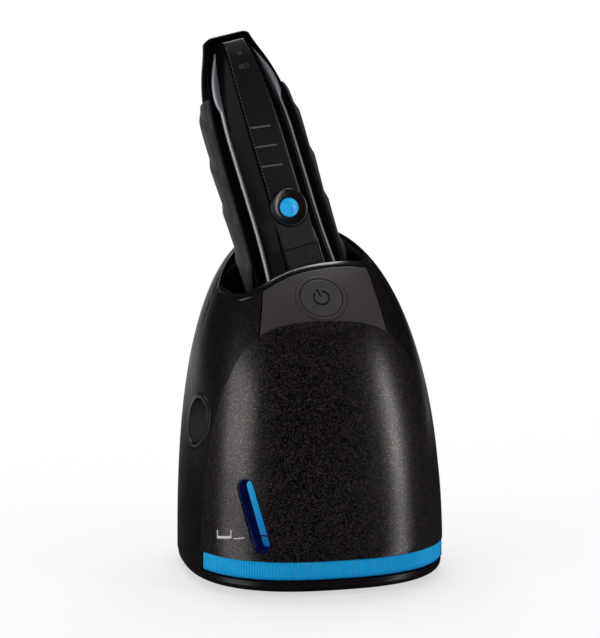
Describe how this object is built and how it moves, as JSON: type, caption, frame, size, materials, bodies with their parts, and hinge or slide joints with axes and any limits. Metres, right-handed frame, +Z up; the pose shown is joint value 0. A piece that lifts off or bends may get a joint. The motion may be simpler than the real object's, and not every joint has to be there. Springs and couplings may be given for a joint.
{
  "type": "shaver cleaning station",
  "caption": "Domed shaver cleaning station with a blue cartridge lip, level window, start and lift buttons, and a shaver docked head down in its bowl.",
  "frame": {"origin": "middle of the underside of the station, on the plane of the feet", "axes": "+Z up, -Y out of the front with the start button, +X to the right as seen from the front"},
  "size_m": [0.1338, 0.1348, 0.275],
  "materials": {
    "base_plastic": "black-brown moulded plastic with a soft gloss",
    "cover_plastic": "black moulded plastic",
    "foot_rubber": "soft black rubber",
    "screw_steel": "zinc plated steel",
    "post_steel": "ground steel rod",
    "cartridge_blue": "translucent blue moulded plastic",
    "filter_white": "white moulded plastic",
    "shell_brown": "near-black brown plastic with a soft gloss",
    "panel_black": "black plastic with fine sparkle under clear gloss",
    "control_grey": "dark brown-grey plastic with a silky gloss",
    "window_blue": "clear blue window",
    "bowl_black": "glossy black moulded plastic",
    "inner_grey": "dark grey moulded plastic",
    "pump_white": "pale moulded plastic",
    "motor_metal": "plated steel can",
    "board_green": "circuit board",
    "contact_gold": "gold plated contact",
    "button_grey": "dark brown-grey plastic with a silky gloss",
    "handle_black": "black plastic with a high gloss",
    "trim_silver": "polished silver trim",
    "grip_rubber": "dark grey soft-touch rubber",
    "pad_grey": "dark grey textured pad",
    "switch_blue": "bright blue domed button",
    "head_silver": "grey head frame",
    "foil_steel": "thin perforated steel foil"
  },
  "bodies": {
    "base": {"base_tray": "base_plastic", "base_cover": "cover_plastic", "rubber_feet": "foot_rubber", "base_screws": "screw_steel", "guide_posts": "post_steel", "lift_springs": "post_steel", "latch_post": "inner_grey", "cartridge_tank": "cartridge_blue", "cartridge_strip": "cartridge_blue", "cartridge_lid": "cartridge_blue", "cartridge_filter": "filter_white"},
    "housing": {"housing_shell": "shell_brown", "front_panel": "panel_black", "control_panel": "control_grey", "level_window": "window_blue", "lift_button_ring": "shell_brown", "start_button_ring": "control_grey", "cleaning_bowl": "bowl_black", "shaver_rest": "inner_grey", "drain_spout": "inner_grey", "chassis_deck": "inner_grey", "guide_bushings": "filter_white", "pump_housing": "pump_white", "pump_motor": "motor_metal", "intake_nozzle": "inner_grey", "wash_pipe": "pump_white", "main_board": "board_green", "deck_screws": "screw_steel", "inlet_socket": "inner_grey", "inlet_pins": "contact_gold", "contact_block": "inner_grey", "start_switch": "board_green", "button_bracket": "inner_grey"},
    "start_button": {"start_button": "button_grey"},
    "lift_button": {"lift_button": "shell_brown"},
    "contact_pins": {"contact_pins": "contact_gold"},
    "pump_rotor": {"pump_rotor": "pump_white"},
    "shaver": {"shaver_handle": "handle_black", "shaver_front_panel": "handle_black", "trim_left": "trim_silver", "trim_right": "trim_silver", "grip_left": "grip_rubber", "grip_right": "grip_rubber", "thumb_pad": "pad_grey", "switch_ring": "handle_black", "end_cap": "handle_black", "shaver_pins": "contact_gold", "head_frame": "head_silver"},
    "switch_button": {"switch_button": "switch_blue"},
    "foil_head": {"foil_cassette": "handle_black", "shaver_foils": "foil_steel"},
    "trimmer": {"trimmer_blade": "foil_steel", "trimmer_slider": "grip_rubber"}
  },
  "joints": [
    {"name": "housing_lift", "type": "slide", "parent": "base", "child": "housing", "axis": [0, 0, 1], "range_m": [0, 0.04], "deforming": ["lift_springs"]},
    {"name": "start_button_press", "type": "slide", "parent": "housing", "child": "start_button", "axis": [0, 0.7923, -0.6102], "range_m": [0, 0.0009], "stiffness_N_per_m": 400},
    {"name": "lift_button_press", "type": "slide", "parent": "housing", "child": "lift_button", "axis": [1, 0, 0], "range_m": [0, 0.002], "stiffness_N_per_m": 500},
    {"name": "contact_pins_press", "type": "slide", "parent": "housing", "child": "contact_pins", "axis": [-0.0928, 0.9687, -0.2304], "range_m": [0, 0.0007], "stiffness_N_per_m": 300},
    {"name": "pump_spin", "type": "hinge", "parent": "housing", "child": "pump_rotor", "pos_m": [0.026, 0.014, 0.07], "axis": [0, 0, 1], "continuous": true},
    {"name": "shaver_lift_out", "type": "slide", "parent": "housing", "child": "shaver", "axis": [-0.2504, 0.2013, 0.947], "range_m": [0, 0.075]},
    {"name": "switch_press", "type": "slide", "parent": "shaver", "child": "switch_button", "axis": [-0.0928, 0.9687, -0.2304], "range_m": [0, 0.0008], "stiffness_N_per_m": 400},
    {"name": "foil_float", "type": "slide", "parent": "shaver", "child": "foil_head", "axis": [-0.2504, 0.2013, 0.947], "range_m": [0, 0.0015], "stiffness_N_per_m": 900},
    {"name": "trimmer_slide", "type": "slide", "parent": "shaver", "child": "trimmer", "axis": [0.2504, -0.2013, -0.947], "range_m": [0, 0.009]}
  ]
}
